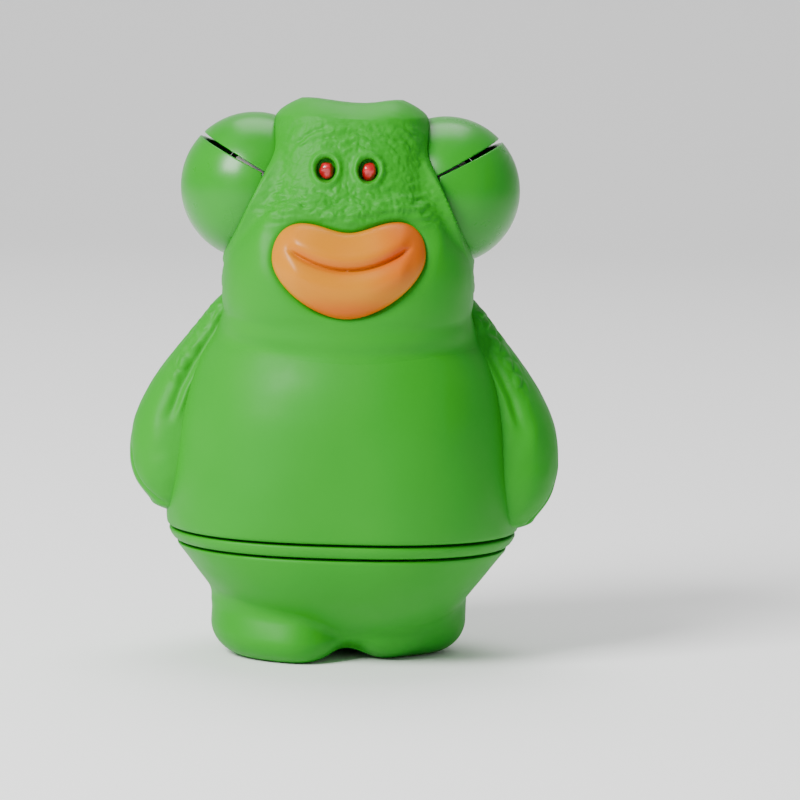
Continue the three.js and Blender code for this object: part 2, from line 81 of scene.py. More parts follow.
SKIN = 1.8
BODY = np.array([
    [TORSO_BOTTOM - 2.2, 21.2, -18.0, 18.0],
    [TORSO_BOTTOM - 0.1, 22.1, -18.7, 18.6],
    [20, 22.2, -19.3, 19.3],
    [26, 21.4, -19.4, 19.4],
    [32, 20.4, -18.9, 18.8],
    [36.5, 19.0, -17.6, 17.5],
    [39.5, 17.5, -16.0, 16.0],
    [41.5, 15.9, -14.4, 14.5],
    [43.0, 13.8, -12.3, 12.5],
    [44.4, 10.8, -9.4, 9.6],
])
BODY_POWER = 2.3
HEAD = np.array([
    [39.4, 12.2, -10.8, 11.4],
    [40.8, 13.8, -13.0, 12.6],
    [42.0, 15.0, -14.9, 13.6],
    [44.0, 15.6, -16.4, 14.4],
    [46.5, 15.8, -17.3, 15.0],
    [49.0, 15.7, -17.6, 15.3],
    [51.5, 15.1, -17.3, 15.2],
    [54.0, 13.9, -16.5, 14.8],
    [57.5, 12.3, -15.1, 14.0],
    [61.0, 11.0, -13.6, 12.8],
    [65.0, 10.1, -12.0, 11.2],
    [68.0, 9.6, -10.7, 9.7],
])
HEAD_POWER = 2.9
SKIRT = 37.4  # the head's lower edge, which lies on the torso
CHIN_DROP = 1.9  # how much lower the head meets the torso in front than at the sides
CROWN_INSET = 3.3  # of the flat crown from the head's sides
CROWN_ROUNDING = 0.35  # 0 is a straight bevel, 1 is fully round
BOWL = np.array([
    [1.6, 9.0, -6.4, 8.0],
    [4.0, 13.2, -9.6, 11.6],
    [6.0, 14.9, -12.2, 13.6],
    [8.0, 16.3, -14.4, 15.0],
    [10.5, 18.2, -16.4, 16.5],
    [12.5, 19.7, -17.5, 17.4],
    [BOWL_TOP, 21.0, -18.1, 18.1],
])
# Arm: height, inner side, outer side, front, back.
ARM = np.array([
    [16.2, 19.4, 21.2, -4.4, -0.6],
    [17.0, 17.4, 23.2, -6.4, 1.4],
    [18.4, 16.2, 24.5, -7.8, 3.4],
    [20.4, 15.4, 25.9, -8.6, 4.8],
    [23.0, 15.0, 26.8, -8.9, 5.8],
    [26.0, 15.0, 27.0, -8.6, 6.4],
    [30.0, 14.6, 26.3, -7.8, 6.6],
    [34.0, 13.8, 24.4, -6.8, 6.2],
    [38.0, 12.6, 21.6, -5.8, 5.4],
    [41.0, 11.4, 19.2, -5.0, 4.6],
    [44.0, 10.4, 16.9, -4.0, 3.2],
    [46.2, 10.4, 14.9, -2.6, 1.6],
])


def stations(table, heights):
    """Smooth values of every column of a table at the heights."""
    z = table[:, 0]
    i = np.clip(np.searchsorted(z, heights, side="right") - 1, 0, len(z) - 2)
    span = z[i + 1] - z[i]
    t = np.clip((heights - z[i]) / span, 0, 1)[..., None]
    slopes = np.gradient(table[:, 1:], z, axis=0)
    m0 = slopes[i] * span[..., None]
    m1 = slopes[i + 1] * span[..., None]
    p0, p1 = table[i, 1:], table[i + 1, 1:]
    return ((2 * t**3 - 3 * t**2 + 1) * p0 + (t**3 - 2 * t**2 + t) * m0
            + (-2 * t**3 + 3 * t**2) * p1 + (t**3 - t**2) * m1)


def smooth_max(a, b, soft):
    """The larger of two values, rounded where they are closer than soft."""
    h = np.clip(0.5 + 0.5 * (a - b) / soft, 0, 1)
    return b + (a - b) * h + soft * h * (1 - h)


def smooth_step(low, high, value):
    t = np.clip((value - low) / (high - low), 0, 1)
    return t * t * (3 - 2 * t)


def bump(distance, width):
    return np.exp(-((distance / width) ** 2))


def super_radius(angle, half_width, half_depth, power):
    c = np.abs(np.cos(angle)) / half_width
    s = np.abs(np.sin(angle)) / half_depth
    return (c**power + s**power) ** (-1 / power)


def section(table, angle, heights, power):
    """A table's outline around the Y place of its middle: radius at each angle, and that middle."""
    width, front, back = np.moveaxis(stations(table, heights), -1, 0)
    depth, middle = (back - front) / 2, (front + back) / 2
    return super_radius(angle, width, depth, power), middle


def level_ring(radius, middle, angle, z):
    """Points of a level outline at one height."""
    return np.stack([radius * np.cos(angle), middle + radius * np.sin(angle), np.full(len(angle), z)], -1)


# ---- Meshes --------------------------------------------------------------------------------------


def new_object(name, verts, faces, smooth=True):
    mesh = bpy.data.meshes.new(name)
    mesh.from_pydata([tuple(v) for v in np.asarray(verts) * MM], [], faces)
    mesh.validate()
    if smooth:
        mesh.shade_smooth()
    obj = bpy.data.objects.new(name, mesh)
    bpy.context.scene.collection.objects.link(obj)
    return obj


def ring_mesh(name, rings, closed_rows=False):
    """A mesh through rings of points. Open ends are closed with a fan; closed_rows joins last to first."""
    rows, around, _ = rings.shape
    verts = rings.reshape(-1, 3)
    faces = []
    last = rows if closed_rows else rows - 1
    for r in range(last):
        a, b = r * around, ((r + 1) % rows) * around
        for k in range(around):
            n = (k + 1) % around
            faces.append((a + k, a + n, b + n, b + k))
    if not closed_rows:
        verts = np.vstack([verts, rings[0].mean(axis=0), rings[-1].mean(axis=0)])
        low, high = len(verts) - 2, len(verts) - 1
        top = (rows - 1) * around
        for k in range(around):
            n = (k + 1) % around
            faces.append((n, k, low))
            faces.append((top + k, top + n, high))
    return new_object(name, verts, faces)


def angles(around):
    return np.linspace(0, 2 * math.pi, around, endpoint=False)


def angles_close_in_front(around):
    """Angles all round that lie closer together towards the front."""
    turn = angles(around)
    return turn - math.pi / 2 - 0.5 * np.sin(turn)


def apply_modifiers(obj):
    deps = bpy.context.evaluated_depsgraph_get()
    mesh = bpy.data.meshes.new_from_object(obj.evaluated_get(deps))
    obj.modifiers.clear()
    old = obj.data
    obj.data = mesh
    bpy.data.meshes.remove(old)
    obj.data.shade_smooth()


def cut(obj, cutters, operation="DIFFERENCE"):
    for cutter in cutters:
        modifier = obj.modifiers.new("cut", "BOOLEAN")
        modifier.operation = operation
        modifier.solver = "MANIFOLD"
        modifier.object = cutter
    apply_modifiers(obj)
    for cutter in cutters:
        mesh = cutter.data
        bpy.data.objects.remove(cutter)
        bpy.data.meshes.remove(mesh)


def sharpen(obj, degrees):
    """Marks the crisp edges left by a cut, so that both faces beside them shade cleanly."""
    bpy.context.view_layer.objects.active = obj
    obj.select_set(True)
    obj.data.set_sharp_from_angle(angle=math.radians(degrees))
    obj.select_set(False)


def ball_mesh(name, centre, radius, around=96, rings=64):
    lat = np.linspace(-math.pi / 2, math.pi / 2, rings + 2)[1:-1]
    a = angles(around)
    points = np.zeros((rings, around, 3))
    points[..., 0] = centre[0] + radius * np.cos(lat)[:, None] * np.cos(a)
    points[..., 1] = centre[1] + radius * np.cos(lat)[:, None] * np.sin(a)
    points[..., 2] = centre[2] + radius * np.sin(lat)[:, None] * np.ones(around)
    return ring_mesh(name, points)


def noise_at(points, scale, seed=0.0):
    """Perlin noise from -1 to 1 at points in millimetres, with features about 1 / scale long."""
    offset = Vector((seed, seed * 1.7, -seed))
    return np.array([noise.noise(Vector(p) * scale + offset) for p in points])


def cells_at(points, scale, seed=0.0):
    """How close each point is to the edge between two cells: 0 on the edge, about 1 inside."""
    offset = Vector((seed, seed * 2.3, seed))
    result = np.empty(len(points))
    for i, p in enumerate(points):
        near = noise.voronoi(Vector(p) * scale + offset)[0]
        result[i] = near[1] - near[0]
    return result


# ---- Outline of the lips and nostrils, seen from the front ---------------------------------------

LIPS_MIDDLE = 50.5
LIPS_TILT = math.tan(math.radians(1.9))  # the lips sit slightly higher on the right
LIPS_HALF_WIDTH = 9.4
LIPS_TOP_LOBE = 4.95
LIPS_TOP_DIP = 3.75
LIPS_CORNER = 0.8
LIPS_BOTTOM = 6.75
NOSTRIL = np.array([2.6, 61.8])
NOSTRIL_SHIFT = -0.45  # of the pair from the middle
NOSTRIL_RIM = 1.7
NOSTRIL_HOLE = 1.25
BEAD_WIDTH = 0.86
BEAD_HEIGHT = 1.12


def bezier(p0, p1, p2, p3, count):
    t = np.linspace(0, 1, count, endpoint=False)[:, None]
    return (1 - t)**3 * p0 + 3 * (1 - t)**2 * t * p1 + 3 * (1 - t) * t**2 * p2 + t**3 * p3


def lips_outline(count=28):
    w, lobe, dip, low = LIPS_HALF_WIDTH, LIPS_TOP_LOBE, LIPS_TOP_DIP, -LIPS_BOTTOM
    right = [
        ((0, dip), (1.9, dip), (3.6, lobe), (w - 3.6, lobe)),
        ((w - 3.6, lobe), (w - 1.5, lobe), (w, 3.3), (w, LIPS_CORNER)),
        ((w, LIPS_CORNER), (w, -2.6), (4.0, low), (0, low)),
    ]
    half = np.vstack([bezier(*map(np.array, segment), count) for segment in right])
    left = half[::-1] * [-1, 1]
    outline = np.vstack([half, [[0, low]], left[:-1]])
    outline[:, 1] += LIPS_TILT * outline[:, 0]
    return outline + [0, LIPS_MIDDLE]


def outline_distance(points, outline):
    """Distance from points to a closed outline, negative inside it."""
    a = outline
    b = np.roll(outline, -1, axis=0)
    ab = b - a
    best = np.full(len(points), 1e9)
    inside = np.zeros(len(points), dtype=bool)
    for i in range(len(a)):
        ap = points - a[i]
        t = np.clip((ap @ ab[i]) / (ab[i] @ ab[i] + 1e-12), 0, 1)
        best = np.minimum(best, np.linalg.norm(ap - t[:, None] * ab[i], axis=1))
        crosses = (a[i, 1] > points[:, 1]) != (b[i, 1] > points[:, 1])
        x = a[i, 0] + (points[:, 1] - a[i, 1]) * ab[i, 0] / (ab[i, 1] + 1e-12)
        inside ^= crosses & (points[:, 0] < x)
    return np.where(inside, -best, best)


# ---- Head ----------------------------------------------------------------------------------------

COLLAR_WALL = 0.8
COLLAR_TILT = math.radians(25)
COLLAR_OFFSET = -0.3
POCKET = LID_RADIUS + 0.3


def body_radius(angle, heights):
    return section(BODY, angle, heights, BODY_POWER)


def lowered_front(angle, heights):
    """Heights to look up in the head's table: its lower part sits lower in front."""
    ahead = np.clip(-np.sin(angle), 0, 1) ** 2
    return heights + CHIN_DROP * ahead * smooth_step(49, 42, heights)


def head_radius(angle, heights):
    """Distance of the head's surface from its axis, and the axis' place along Y.

    The head swells around each dome, up to a rim that leans in towards the top."""
    radius, middle = section(HEAD, angle, lowered_front(angle, heights), HEAD_POWER)
    side = np.maximum(np.abs(np.cos(angle)), 1e-3)
    rise = heights - EYE[2]
    along = side * EYE[0] - np.sin(angle) * middle
    room = (POCKET + COLLAR_WALL) ** 2 - rise**2 - EYE[0] ** 2 - middle**2 + along**2
    swell = along + np.sqrt(np.maximum(room, 0))
    rim = EYE[0] + (COLLAR_OFFSET - math.sin(COLLAR_TILT) * rise) / math.cos(COLLAR_TILT)
    limit = smooth_max(radius, rim / side, 0.6)
    swell = np.minimum(smooth_max(radius, np.minimum(swell, rim / side), 8.0), limit)
    radius = radius + (swell - radius) * smooth_step(0, 40, room)
    neck, _ = body_radius(angle, heights)
    near_neck = heights < 44.2
    return np.where(near_neck, smooth_max(radius, neck + 0.03, 4.0), radius), middle


def face_front(x, z):
    """Y of the face's plain surface, before its wrinkles."""
    width, front, back = np.moveaxis(stations(HEAD, lowered_front(-math.pi / 2, z)), -1, 0)
    depth, middle = (back - front) / 2, (front + back) / 2
    inside = np.clip(1 - np.abs(x / width) ** HEAD_POWER, 0, 1)
    return middle - depth * inside ** (1 / HEAD_POWER)


def head_relief(points):
    """Height of the modelled skin detail at points on the head."""
    x, y, z = points.T
    relief = np.zeros(len(points))
    front = y < -3
    flat = points[:, [0, 2]]
    lips_gap = np.full(len(points), 50.0)
    lips_gap[front] = outline_distance(flat[front], lips_outline())

    # The face is wrinkled from just above the lips to the forehead.
    half = stations(HEAD, z)[:, 0]
    face = front * smooth_step(half * 1.02, half * 0.72, np.abs(x))
    face *= smooth_step(53.5, 56.5, z) * smooth_step(69.0, 66.0, z) * smooth_step(0.3, 1.2, lips_gap)
    chosen = face > 0.01
    low_face = smooth_step(61.5, 57.5, z[chosen])
    warp = 0.5 * noise_at(points[chosen], 0.5, 4.2)[:, None]
    cells = cells_at(points[chosen] * [0.8, 1, 1.1] + warp, 1.15, 3.1)
    grain = noise_at(points[chosen], 1.9, 7.7)
    folds = noise_at(points[chosen] * [0.5, 1, 1.7] + warp, 0.85, 1.3)
    height = (0.08 + 0.05 * low_face) * np.minimum(cells, 0.5) / 0.5 + 0.06 * grain
    height += (0.07 + 0.31 * low_face) * folds
    rings = np.hypot(x[chosen] / 1.5, z[chosen] - 61.5) + warp[:, 0]
    height += 0.10 * np.sin(rings * 5.2) * smooth_step(63.5, 65, z[chosen])
    relief[chosen] += face[chosen] * height

    # Round warts on the sides and the back.
    back = smooth_step(-7, 1, y) * smooth_step(43.5, 46, z) * smooth_step(69.5, 67.5, z)
    chosen = back > 0.01
    warts = cells_at(points[chosen], 0.36, 5.5)
    size = noise_at(points[chosen], 0.12, 2.2)
    relief[chosen] += back[chosen] * (0.42 * smooth_step(0.18, 0.62, warts) - 0.2) * (0.75 + 0.5 * size)

    # Groove around the lips, and the soft fold above them.
    relief -= 0.75 * bump(lips_gap + 0.1, 0.42)
    relief -= 0.30 * bump(lips_gap - 0.3, 0.8)
    relief += 0.35 * bump(lips_gap - 2.0, 0.9) * smooth_step(LIPS_MIDDLE, LIPS_MIDDLE + 4, z) * front

    # Raised rims of the nostrils.
    for side in (-1, 1):
        gap = np.hypot((x - nostril_x(side)) * 1.05, (z - NOSTRIL[1]) * 0.92)
        gap = np.where(front, gap, 50)
        relief = relief * (1 - 0.8 * bump(gap, 2.1))
        relief += 0.40 * bump(gap - NOSTRIL_RIM, 0.42) - 0.5 * smooth_step(1.5, 0.9, gap)
    return relief


def nostril_x(side):
    return side * NOSTRIL[0] + NOSTRIL_SHIFT


def make_head():
    around = 440
    bend = np.linspace(0, math.pi / 2, 14)[1:]
    crown_start = HEAD[-1, 0]
    straight = bend / bend[-1]
    climb = straight + CROWN_ROUNDING * (np.sin(bend) - straight)
    pull = straight + CROWN_ROUNDING * (1 - np.cos(bend) - straight)
    heights = np.concatenate([
        np.linspace(SKIRT, crown_start, 215),
        crown_start + (HEAD_TOP - crown_start) * climb,
        [HEAD_TOP] * 4])
    inset = np.concatenate([np.zeros(215), CROWN_INSET * pull, CROWN_INSET + np.array([0.8, 2, 3.4, 5])])
    angle = np.ones((len(heights), 1)) * angles_close_in_front(around)
    heights = heights[:, None] * np.ones(around)
    radius, middle = head_radius(angle, np.minimum(heights, crown_start))
    radius = np.maximum(radius - inset[:, None], 0.4)
    points = np.stack([radius * np.cos(angle), middle + radius * np.sin(angle), heights], axis=-1)
    shape = points.shape
    across = np.gradient(points, axis=1)
    across[:, 0] = (points[:, 1] - points[:, -1]) / 2
    across[:, -1] = (points[:, 0] - points[:, -2]) / 2
    upward = np.gradient(points, axis=0)
    normal = np.cross(across, upward)
    normal /= np.linalg.norm(normal, axis=-1, keepdims=True) + 1e-9
    relief = head_relief(points.reshape(-1, 3)).reshape(shape[:2])
    fade = smooth_step(42.5, 45, points[..., 2]) * smooth_step(HEAD_TOP, crown_start, points[..., 2])
    points += normal * (relief * fade)[..., None]
    # Two low knobs on the crown with a dip between them.
    crown = smooth_step(66.0, HEAD_TOP, points[..., 2])
    knobs = 0.15 * bump(np.abs(points[..., 0]) - 5.2, 1.8) - 0.45 * bump(points[..., 0] - 1.0, 3.4)
    knobs -= 0.5 * smooth_step(-2, 8, points[..., 1])
    points[..., 2] += crown * knobs
    head = ring_mesh("head", points)

    inner_z = np.linspace(HEAD_BOTTOM + SKIN, HEAD_TOP - SKIN - 0.6, 40)[:, None] * np.ones(96)
    inner_angle = np.ones((40, 1)) * angles(96)
    width, front, back = np.moveaxis(stations(HEAD, inner_z), -1, 0)
    depth, middle = (back - front) / 2, (front + back) / 2
    r = super_radius(inner_angle, width - SKIN - 0.4, depth - SKIN - 0.4, HEAD_POWER)
    hollow = np.stack([r * np.cos(inner_angle), middle + r * np.sin(inner_angle), inner_z], axis=-1)
    cutters = [ring_mesh("head_hollow", hollow)]
    for side in (-1, 1):
        cutters.append(ball_mesh("pocket", EYE * [side, 1, 1], POCKET, 128, 84))
        cutters.append(nostril_hole(side))
    cut(head, cutters)
    sharpen(head, 50)
    return head


def nostril_hole(side):
    """A tapered hole that the red bead sits in."""
    a = angles(40)
    depths = np.array([-2.0, 0.0, 0.8, 1.4])
    widths = NOSTRIL_HOLE * np.array([1.25, 1.02, 0.95, 0.8])
    front = float(face_front(np.array([NOSTRIL[0]]), np.array([NOSTRIL[1]]))[0])
    rings = np.zeros((len(depths), len(a), 3))
    for i, (depth, width) in enumerate(zip(depths, widths)):
        rings[i, :, 0] = nostril_x(side) + width * np.cos(a)
        rings[i, :, 1] = front + depth
        rings[i, :, 2] = NOSTRIL[1] - width * 1.15 * np.sin(a)
    return ring_mesh("nostril_hole", rings)


def make_nostril(side, name):
    """A lumpy red bead that sits low in its hole."""
    a = angles(56)
    lat = np.linspace(-1.45, 1.45, 30)[:, None]
    front = float(face_front(np.array([NOSTRIL[0]]), np.array([NOSTRIL[1]]))[0])
    beads = np.stack([
        BEAD_WIDTH * np.cos(lat) * np.cos(a),
        0.62 * np.sin(lat) * np.ones(len(a)),
        -BEAD_HEIGHT * np.cos(lat) * np.sin(a)], axis=-1)
    lumps = noise_at(beads.reshape(-1, 3), 1.25, 3.0 * side).reshape(beads.shape[:2])
    beads *= (1 + 0.22 * lumps)[..., None]
    return ring_mesh(name, beads + [nostril_x(side) + 0.08, front + 0.72, NOSTRIL[1] - 0.22])


# ---- Lips ----------------------------------------------------------------------------------------


def mouth_line(x):
    return LIPS_MIDDLE - 0.75 + 2.3 * (x / 7.0) ** 2 + LIPS_TILT * x


def make_lips():
    outline = lips_outline()
    centre = np.array([0, LIPS_MIDDLE - 0.6])
    steps = 1 - (1 - np.linspace(0.02, 1, 46)) ** 1.6
    flat = centre + steps[:, None, None] * (outline - centre)
    flat = flat[:, ::-1]
    x, z = flat[..., 0], flat[..., 1]
    edge = -outline_distance(flat.reshape(-1, 2), outline).reshape(x.shape)
    edge = np.maximum(edge, 0)
    swell = np.sqrt(np.clip(1 - (1 - np.clip(edge / 2.6, 0, 1)) ** 2, 0, 1))
    height = 1.35 * swell
    line = z - mouth_line(x)
    reach = smooth_step(8.0, 6.2, np.abs(x))
    height -= reach * (0.62 * bump(line, 0.26) + 0.30 * bump(line, 0.9))
    height += reach * 0.30 * bump(line - 1.5, 1.2) + reach * 0.42 * bump(line + 2.4, 1.7)
    height += 0.16 * bump(np.abs(x) - 5.4, 2.2) * bump(z - LIPS_MIDDLE - 3.0, 1.6)
    height -= 0.10 * reach * bump(line - 3.1, 0.7) * bump(x, 3)
    y = face_front(x, z) + 0.35 - height
    rows = [np.stack([x, y, z], axis=-1)]
    rim = flat[-1]
    for depth, inward in ((0.9, 0.05), (1.3, 0.35)):
        pulled = rim + (centre - rim) * (inward / 8)
        y_rim = face_front(pulled[:, 0], pulled[:, 1]) + depth
        rows.append(np.stack([pulled[:, 0], y_rim, pulled[:, 1]], axis=-1)[None])
    lips = ring_mesh("lips_skin", np.vstack(rows)[::-1])
    # The deep value stored here is the lips' painted shade.
    paint_tone(lips, "deep", lips_painted_shade)
    return lips


def lips_painted_shade(points):
    """Painted shade on the lips: a darker orange just under the mouth line, low down and on the right side.
    """
    x, _, z = points.T
    line = z - mouth_line(x)
    reach = smooth_step(8.0, 5.5, np.abs(x))
    painted_shade = 0.55 * bump(line - 0.35, 0.8) * reach
    painted_shade += 0.75 * smooth_step(1.0, 8.0, x) * smooth_step(-5.5, -1.5, line)
    painted_shade += 0.7 * smooth_step(-3.4, -6.0, z - LIPS_MIDDLE)
    return np.clip(painted_shade, 0, 1)


def paint_tone(obj, name, rule):
    """Stores a 0 to 1 value on the vertices, for the material to read."""
    verts = np.array([v.co[:] for v in obj.data.vertices]) / MM
    layer = obj.data.attributes.new(name, "FLOAT", "POINT")
    layer.data.foreach_set("value", rule(verts).astype(np.float32))


# ---- Body ----------------------------------------------------------------------------------------


def make_torso():
    around = 220
    low = TORSO_BOTTOM
    edge = [(low, 0.5), (low + 0.03, 0.28), (low + 0.12, 0.12), (low + 0.3, 0.0)]
    outer = edge + [(z, 0.0) for z in np.linspace(low + 0.6, BODY[-1, 0], 110)]
    inner = [(z, SKIN) for z in np.linspace(BODY[-1, 0] - SKIN, low + 0.5, 40)] + [(low, SKIN - 0.2)]
    rows = outer + inner
    angle = angles(around)
    rings = np.zeros((len(rows) + 2, around, 3))
    for i, (z, inset) in enumerate(rows):
        place = i if i < len(outer) else i + 2
        radius, middle = body_radius(angle, np.full(around, z))
        rings[place] = level_ring(radius - inset, middle, angle, z)
    hole = 2.2
    for place, z in ((len(outer), BODY[-1, 0] + 0.1), (len(outer) + 1, BODY[-1, 0] - SKIN + 0.1)):
        rings[place] = level_ring(np.full(around, hole), 0, angle, z)
    soft = 0.10 * noise_at(rings.reshape(-1, 3), 0.11, 4.4).reshape(rings.shape[:2])
    rings[..., :2] *= (1 + soft / 20)[..., None]
    return ring_mesh("torso", rings, closed_rows=True)


def make_band():
    around = 220
    low, high = BAND
    angle = angles(around)
    profile = [(low, 0.55), (low + 0.03, 0.30), (low + 0.12, 0.14), (low + 0.32, 0.02),
               ((low + high) / 2, -0.02),
               (high - 0.32, 0.02), (high - 0.12, 0.14), (high - 0.03, 0.30), (high, 0.55)]
    deep = 3.3
    profile += [(high, SKIN + 0.45), (high + 2.8, SKIN + 0.45), (high + 2.8, deep),
                (low - 2.8, deep), (low - 2.8, SKIN + 0.45), (low, SKIN + 0.45)]
    rings = np.zeros((len(profile), around, 3))
    table = np.vstack([BOWL[:-1], BODY[1:]])
    for i, (z, inset) in enumerate(profile):
        radius, middle = section(table, angle, np.full(around, z), BODY_POWER)
        rings[i] = level_ring(radius - inset, middle, angle, z)
    return ring_mesh("band", rings, closed_rows=True)


def arm_rings(front_shift, lift, around, rows):
    low, high = ARM[0, 0], ARM[-1, 0]
    z = low + (high - low) * (1 - np.cos(np.linspace(0.12, math.pi - 0.12, rows))) / 2
    inner, outer, front, back = stations(ARM, z).T
    front = front + front_shift * smooth_step(44, 34, z)
    ends = np.sqrt(smooth_step(-0.5, 1.6, z - low) * smooth_step(-0.4, 1.2, high - z))
    angle = angles(around)
    rings = np.zeros((rows, around, 3))
    for i in range(rows):
        radius = ends[i] * super_radius(angle, (outer[i] - inner[i]) / 2, (back[i] - front[i]) / 2, 2.25)
        rings[i, :, 0] = (inner[i] + outer[i]) / 2 + radius * np.cos(angle)
        rings[i, :, 1] = (front[i] + back[i]) / 2 + radius * np.sin(angle)
        rings[i, :, 2] = z[i] + lift * smooth_step(26, 17, z[i])
    return rings


# The warty ridge down the front of each arm: height and distance from the middle plane.
ARM_RIDGE = np.array([
    [24, 23.2],
    [26.7, 23.5],
    [29.9, 23.6],
    [33.5, 22.4],
    [36.9, 20.7],
    [40.1, 18.8],
    [44, 16.4],
])


def arm_relief(points, seed):
    """A ridge of warts down the front of the arm with a groove beside it, and finger lines on the hand."""
    x, y, z = points.T
    forward = smooth_step(1.0, -2.5, y)
    along = x - np.interp(z, ARM_RIDGE[:, 0], ARM_RIDGE[:, 1])
    reach = forward * smooth_step(25, 29, z) * smooth_step(45.5, 43.5, z)
    warts = cells_at(points * [0.9, 0.5, 0.6], 0.85, seed)
    lumps = smooth_step(0.05, 0.5, warts) - 0.35
    relief = reach * bump(along, 1.15) * (0.30 + 0.34 * lumps * smooth_step(32, 36, z))
    relief -= reach * 0.34 * bump(along + 1.7, 0.55) * smooth_step(29, 32, z)
    relief += reach * 0.26 * bump(along + 2.6, 0.40) * smooth_step(29, 32, z)
    hand = smooth_step(27, 24, z) * smooth_step(16.6, 18.0, z)
    swing = (z - 24) * 0.45
    for k in range(3):
        groove = y - (-3.4 + 2.7 * k) - swing
        relief -= hand * 0.30 * bump(groove, 0.40) * smooth_step(21.5, 23.5, x)
    relief += 0.05 * noise_at(points, 0.6, seed)
    return relief


def make_arm(side, name, front_shift, lift, seed):
    rings = arm_rings(front_shift, lift, 190, 170)
    shape = rings.shape
    centre = rings.mean(axis=1, keepdims=True)
    outward = rings - centre
    outward[..., 2] = 0
    outward /= np.linalg.norm(outward, axis=-1, keepdims=True) + 1e-9
    relief = arm_relief(rings.reshape(-1, 3), seed).reshape(shape[:2])
    rings = rings + outward * relief[..., None]
    if side < 0:
        rings = (rings * [-1, 1, 1])[:, ::-1]
    return ring_mesh(name, rings)


FOOT_FRONT = -13.4
FOOT_BACK = 11.6
FOOT_SIDE = 16.1
RIGHT_FOOT_BACK = 3.2  # how far its front stands behind the left foot's
ARCH = 1.5


def leg_radius(angle, z):
    """The bowl of the lower body with two merged feet under it."""
    bowl, middle = section(BOWL, angle, z, BODY_POWER)
    foot = super_radius(angle, FOOT_SIDE, (FOOT_BACK - FOOT_FRONT) / 2, 2.6)
    ahead = smooth_step(0.1, -0.6, np.sin(angle))
    foot = foot - (1.0 + 2.4 * ahead) * bump(foot * np.cos(angle), 3.2)
    to_right = smooth_step(-2, 4, foot * np.cos(angle))
    foot = foot - RIGHT_FOOT_BACK * ahead * to_right
    sideways = np.cos(angle) ** 2
    edge = 2.6 + 2.2 * ahead * to_right + 1.6 * sideways
    low = np.clip(1 - z / edge, 0, 1)
    foot = foot - (edge + 0.5) * (1 - np.sqrt(1 - low**2 * 0.97))
    top = np.clip((z - 2.6) / 3.0, 0, 2.5)
    foot = foot - (1 - sideways) * 1.5 * top**1.5 - sideways * 0.4 * np.clip(z - 6.6, 0, 10) ** 1.3
    shift = ((FOOT_BACK + FOOT_FRONT) / 2 - middle) * np.sin(angle)
    return smooth_max(bowl, foot + shift, 2.0 - 1.1 * smooth_step(-4, 4, foot * np.cos(angle))), middle


def make_legs():
    around = 260
    angle = angles(around)
    sole = [(0.0, k) for k in np.linspace(0.06, 0.96, 26)]
    side_heights = np.concatenate([np.linspace(0.0, 1.0, 14), np.linspace(1.15, BOWL_TOP - 0.35, 92)])
    side = [(z, 1.0) for z in side_heights]
    lip = [(BOWL_TOP - 0.12, 1.0), (BOWL_TOP - 0.03, 1.0), (BOWL_TOP, 1.0)]
    insets = [0.12, 0.28, 0.5]
    rows = sole + side + lip
    rings = np.zeros((len(rows), around, 3))
    for i, (z, scale) in enumerate(rows):
        radius, middle = leg_radius(angle, np.full(around, z))
        if i >= len(sole) + len(side):
            radius = radius - insets[i - len(sole) - len(side)]
        rings[i] = level_ring(radius * scale, middle, angle, z)
    x, y, z = rings[..., 0], rings[..., 1], rings[..., 2]
    arch = ARCH * bump(x - 1.0, 3.0) * smooth_step(4.0, 0.0, z) * smooth_step(3.0, -7.0, y)
    rings[..., 2] = z + arch
    hollow_rows = [(z, SKIN) for z in np.linspace(BOWL_TOP, 4.2, 30)]
    hollow = np.zeros((len(hollow_rows), around, 3))
    for i, (level, inset) in enumerate(hollow_rows):
        radius, middle = section(BOWL, angle, np.full(around, level), BODY_POWER)
        hollow[i] = level_ring(radius - inset, middle, angle, level)
    legs = ring_mesh("legs", np.vstack([rings, hollow]))
    socket = ring_mesh("socket", np.array([
        [(3.5 * math.cos(v), 3.5 * math.sin(v), level) for v in angles(64)] for level in (-1.0, 5.5)]))
    cut(legs, [socket])
    sharpen(legs, 50)
    return legs


# ---- Eyes ----------------------------------------------------------------------------------------

SLIT_TILT = math.radians(28)
SLIT_OFFSET = 2.5
SLIT_INNER_GAP = 0.09
SLIT_TAPER = math.radians(1.4)
SLIT_BACK_TAPER = 0.004
LID_WALL = 0.8
UPPER_END = math.radians(145)
LOWER_END = math.radians(-105)


def lid_balls(name):
    """The outer and inner balls of a lid's shell, with their poles on the hinge's line."""
    outer = ball_mesh(name, np.zeros(3), LID_RADIUS, 160, 110)
    inner = ball_mesh("inner", np.zeros(3), LID_RADIUS - LID_WALL, 128, 84)
    for ball in (outer, inner):
        ball.data.transform(TURN_POLES)
    return outer, inner


def lid_solid(name, upper):
    """A lid as an even shell on its own side of the slit."""
    reach = 12.0
    outer, inner = lid_balls(name)
    sign = 1 if upper else -1
    tilt = SLIT_TILT + sign * SLIT_TAPER
    offset = SLIT_OFFSET + sign * SLIT_INNER_GAP
    across = np.array([-math.sin(tilt), 0, math.cos(tilt)])
    across = across + np.array([0, sign * SLIT_BACK_TAPER, 0])
    keep_out = half_space(-sign * across, -sign * offset, reach)
    cutters = [inner, keep_out]
    if upper:
        end = np.array([-math.sin(UPPER_END), 0, math.cos(UPPER_END)])
        cutters.append(half_space(end, 0.0, reach))
    cut(outer, cutters)
    return outer


TURN_POLES = Matrix.Rotation(math.pi / 2, 4, "X")


